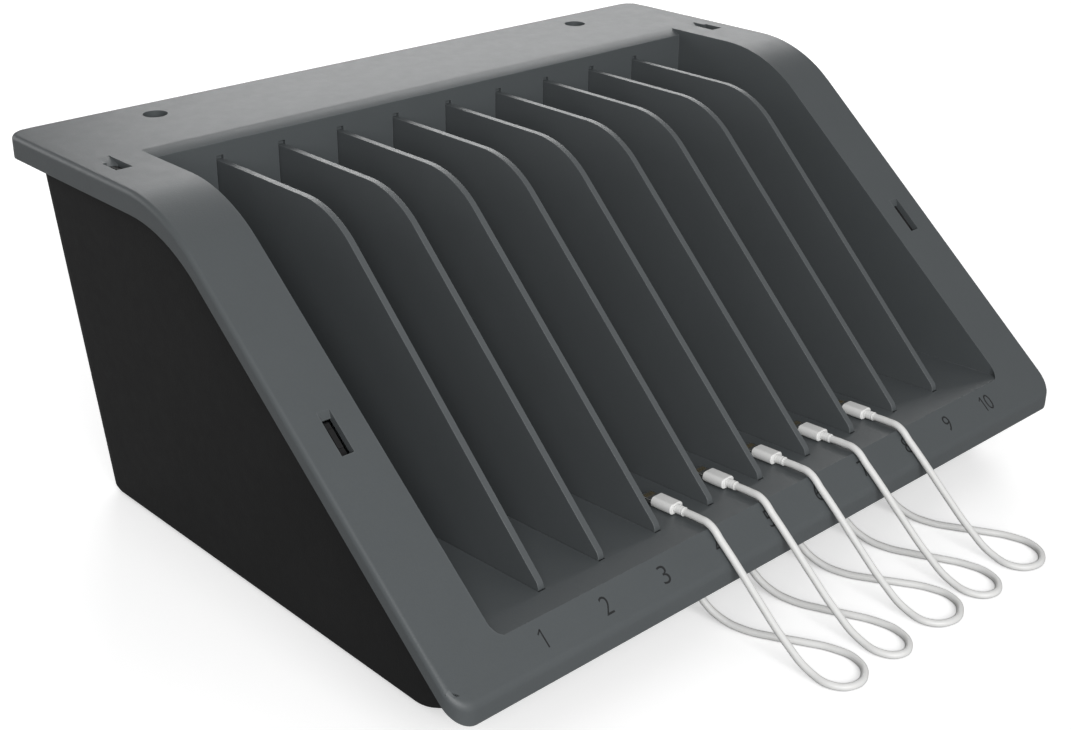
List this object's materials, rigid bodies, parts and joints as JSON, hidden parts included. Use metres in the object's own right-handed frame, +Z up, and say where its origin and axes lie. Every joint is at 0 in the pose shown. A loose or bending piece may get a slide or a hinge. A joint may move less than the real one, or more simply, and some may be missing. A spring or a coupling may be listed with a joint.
{
  "type": "tablet charging station",
  "caption": "Desk-top charging station: a grey sloping deck with upright divided bays over a black tub, with charging leads.",
  "frame": {"origin": "middle of the deck's plan at the table under the rubber feet, measured without the free leads", "axes": "+X along the row of bays from bay 1 to bay 10, +Y to the rear ledge (the lip is at -Y), +Z up"},
  "size_m": [0.382, 0.3536, 0.172],
  "materials": {
    "tub_plastic": "fine-grained moulded black",
    "deck_plastic": "satin moulded mid grey",
    "divider_plastic": "satin moulded mid grey",
    "foot_rubber": "matt",
    "grommet_rubber": "matt",
    "lead_sheath": "satin soft vinyl",
    "plug_plastic": "smooth moulded white",
    "contact_metal": "plated",
    "steel": "zinc plated",
    "charger_plastic": "moulded",
    "circuit_board": "lacquered",
    "transformer": "ferrite and tape",
    "capacitor_sleeve": "shrink sleeve",
    "aluminium_fins": "extruded",
    "wire_sheath": "vinyl",
    "inlet_plastic": "moulded",
    "rocker_plastic": "moulded"
  },
  "bodies": {
    "station": {"tub": "tub_plastic", "deck": "deck_plastic", "deck_screws": "steel", "feet": "foot_rubber", "outlet_grommets": "grommet_rubber", "lead_comb": "tub_plastic", "inner_leads": "lead_sheath", "charge_plugs": "plug_plastic", "charger_base": "charger_plastic", "charger_cover": "charger_plastic", "charger_board": "circuit_board", "charge_ports": "steel", "transformer": "transformer", "capacitors": "capacitor_sleeve", "heat_sink": "aluminium_fins", "charger_screws": "steel", "mains_wires": "wire_sheath", "inlet_body": "inlet_plastic", "inlet_pins": "contact_metal", "inlet_screws": "steel", "lead_4": "lead_sheath", "lead_5": "lead_sheath", "lead_6": "lead_sheath", "lead_7": "lead_sheath", "lead_8": "lead_sheath", "plug_4": "plug_plastic", "plug_5": "plug_plastic", "plug_6": "plug_plastic", "plug_7": "plug_plastic", "plug_8": "plug_plastic", "plug_tab_4": "contact_metal", "plug_tab_5": "contact_metal", "plug_tab_6": "contact_metal", "plug_tab_7": "contact_metal", "plug_tab_8": "contact_metal"},
    "divider_1_plate": {"divider_1": "divider_plastic"},
    "divider_2_plate": {"divider_2": "divider_plastic"},
    "divider_3_plate": {"divider_3": "divider_plastic"},
    "divider_4_plate": {"divider_4": "divider_plastic"},
    "divider_5_plate": {"divider_5": "divider_plastic"},
    "divider_6_plate": {"divider_6": "divider_plastic"},
    "divider_7_plate": {"divider_7": "divider_plastic"},
    "divider_8_plate": {"divider_8": "divider_plastic"},
    "divider_9_plate": {"divider_9": "divider_plastic"},
    "rocker": {"power_rocker": "rocker_plastic"}
  },
  "joints": [
    {"name": "divider_1_lift", "type": "slide", "parent": "station", "child": "divider_1_plate", "axis": [0, -0.7071, 0.7071], "range_m": [0, 0.125]},
    {"name": "divider_2_lift", "type": "slide", "parent": "station", "child": "divider_2_plate", "axis": [0, -0.7071, 0.7071], "range_m": [0, 0.125]},
    {"name": "divider_3_lift", "type": "slide", "parent": "station", "child": "divider_3_plate", "axis": [0, -0.7071, 0.7071], "range_m": [0, 0.125]},
    {"name": "divider_4_lift", "type": "slide", "parent": "station", "child": "divider_4_plate", "axis": [0, -0.7071, 0.7071], "range_m": [0, 0.125]},
    {"name": "divider_5_lift", "type": "slide", "parent": "station", "child": "divider_5_plate", "axis": [0, -0.7071, 0.7071], "range_m": [0, 0.125]},
    {"name": "divider_6_lift", "type": "slide", "parent": "station", "child": "divider_6_plate", "axis": [0, -0.7071, 0.7071], "range_m": [0, 0.125]},
    {"name": "divider_7_lift", "type": "slide", "parent": "station", "child": "divider_7_plate", "axis": [0, -0.7071, 0.7071], "range_m": [0, 0.125]},
    {"name": "divider_8_lift", "type": "slide", "parent": "station", "child": "divider_8_plate", "axis": [0, -0.7071, 0.7071], "range_m": [0, 0.125]},
    {"name": "divider_9_lift", "type": "slide", "parent": "station", "child": "divider_9_plate", "axis": [0, -0.7071, 0.7071], "range_m": [0, 0.125]},
    {"name": "power_rocker_tilt", "type": "hinge", "parent": "station", "child": "rocker", "pos_m": [0.148, 0.1293, 0.07474], "axis": [1, 0, 0], "range_deg": [0, 16]}
  ]
}
